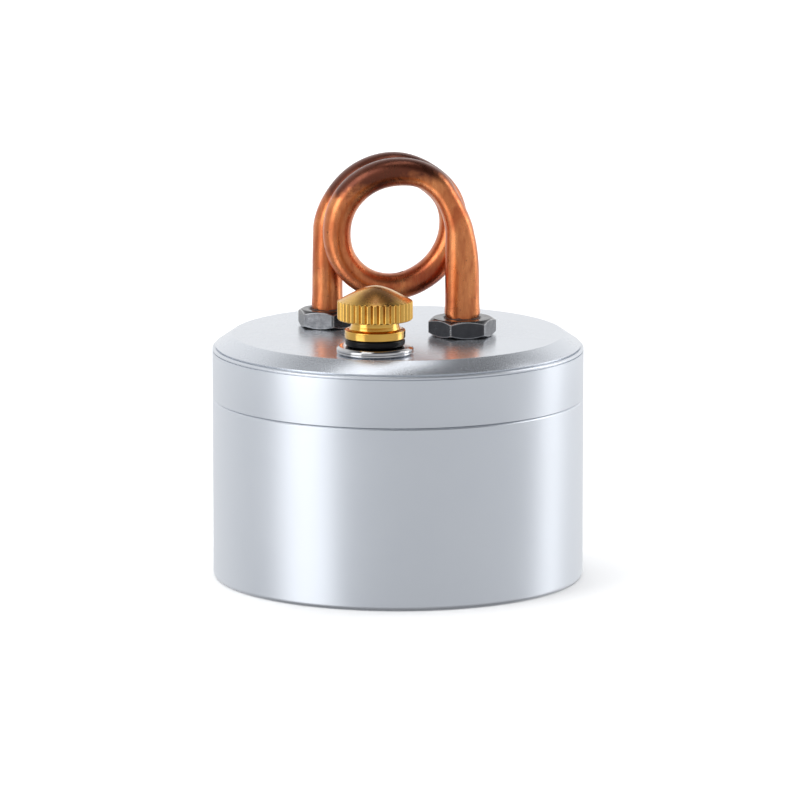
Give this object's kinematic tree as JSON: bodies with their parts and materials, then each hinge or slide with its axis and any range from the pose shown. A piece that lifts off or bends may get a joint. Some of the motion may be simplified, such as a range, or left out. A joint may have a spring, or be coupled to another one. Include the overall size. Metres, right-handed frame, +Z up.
{
  "type": "alcohol burner",
  "caption": "Pocket spirit burner: screwed aluminium pot, looped copper jet tube held by hex nuts and a knurled brass filler screw.",
  "frame": {"origin": "centre of the flat underside of the pot", "axes": "+Z up along the pot's axis; -Y towards the filler screw, the side that is looked at; +X towards the leg of the coil that stands nearer to the filler side"},
  "size_m": [0.062, 0.062, 0.0705],
  "materials": {
    "aluminium": "satin anodised, very fine grain",
    "lid_aluminium": "satin anodised, smoother than the pot",
    "copper": "semi-gloss drawn copper with heat patina",
    "black_steel": "black oxide steel with worn edges",
    "zinc_steel": "bright zinc-plated steel",
    "chrome": "mirror chrome plating",
    "brass": "turned brass, satin dome and bright neck",
    "rubber": "black nitrile rubber",
    "red_fibre": "matte vulcanised fibre",
    "cotton": "twisted cotton rope"
  },
  "bodies": {
    "cup": {"fuel_cup": "aluminium"},
    "lid_seal": {"lid_gasket": "rubber"},
    "lid": {"lid": "lid_aluminium", "jet_coil": "copper", "tube_nut_right": "black_steel", "tube_nut_left": "black_steel", "tube_seal_right": "red_fibre", "tube_seal_left": "red_fibre", "flat_washer_right": "zinc_steel", "flat_washer_left": "zinc_steel", "lock_nut_right": "zinc_steel", "lock_nut_left": "zinc_steel", "wick_right": "cotton", "wick_left": "cotton", "filler_bushing": "chrome", "filler_ring": "chrome", "filler_seal": "red_fibre", "filler_nut": "zinc_steel"},
    "cap_seal": {"filler_oring": "rubber"},
    "filler_cap": {"filler_cap": "brass"}
  },
  "joints": [
    {"name": "lid_rise", "type": "slide", "parent": "cup", "child": "lid_seal", "axis": [0, 0, 1], "range_m": [0, 0.007]},
    {"name": "lid_turn", "type": "hinge", "parent": "lid_seal", "child": "lid", "pos_m": [0, 0, 0.041], "axis": [0, 0, 1], "range_deg": [0, 1260]},
    {"name": "cap_rise", "type": "slide", "parent": "lid", "child": "cap_seal", "axis": [0, 0, 1], "range_m": [0, 0.0075]},
    {"name": "cap_turn", "type": "hinge", "parent": "cap_seal", "child": "filler_cap", "pos_m": [-0.00375, -0.0207, 0.0437], "axis": [0, 0, 1], "range_deg": [0, 2160]}
  ],
  "couplings": [
    {"joint": "lid_rise", "follows": "lid_turn", "m_per_rad": 0.00031831},
    {"joint": "cap_rise", "follows": "cap_turn", "m_per_rad": 0.00019894}
  ]
}
